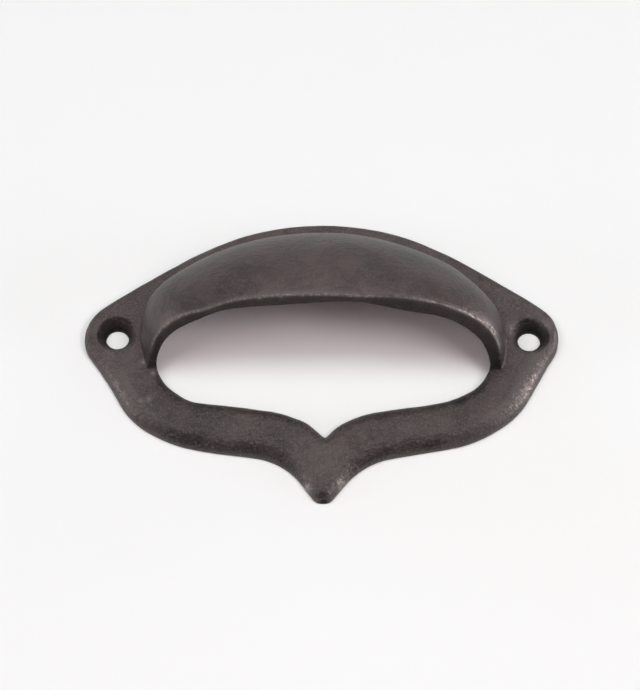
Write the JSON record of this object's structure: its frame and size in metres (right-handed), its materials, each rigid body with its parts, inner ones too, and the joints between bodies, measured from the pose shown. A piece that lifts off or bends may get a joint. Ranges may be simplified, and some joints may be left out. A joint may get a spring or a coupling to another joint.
{
  "type": "drawer pull",
  "caption": "Cast iron cup drawer pull: a pointed open back plate with countersunk ears and an arched hood leaning over the finger opening.",
  "frame": {"origin": "midway between the two screw holes, on the back of the plate", "axes": "+X along the pull through the screw holes, +Y up the drawer front towards the closed back of the hood, +Z straight out from the drawer front"},
  "size_m": [0.1028, 0.0676, 0.0254],
  "materials": {
    "iron": "blackened sand-cast skin, worn brighter on the edges"
  },
  "bodies": {
    "root": {"pull": "iron"}
  },
  "joints": []
}
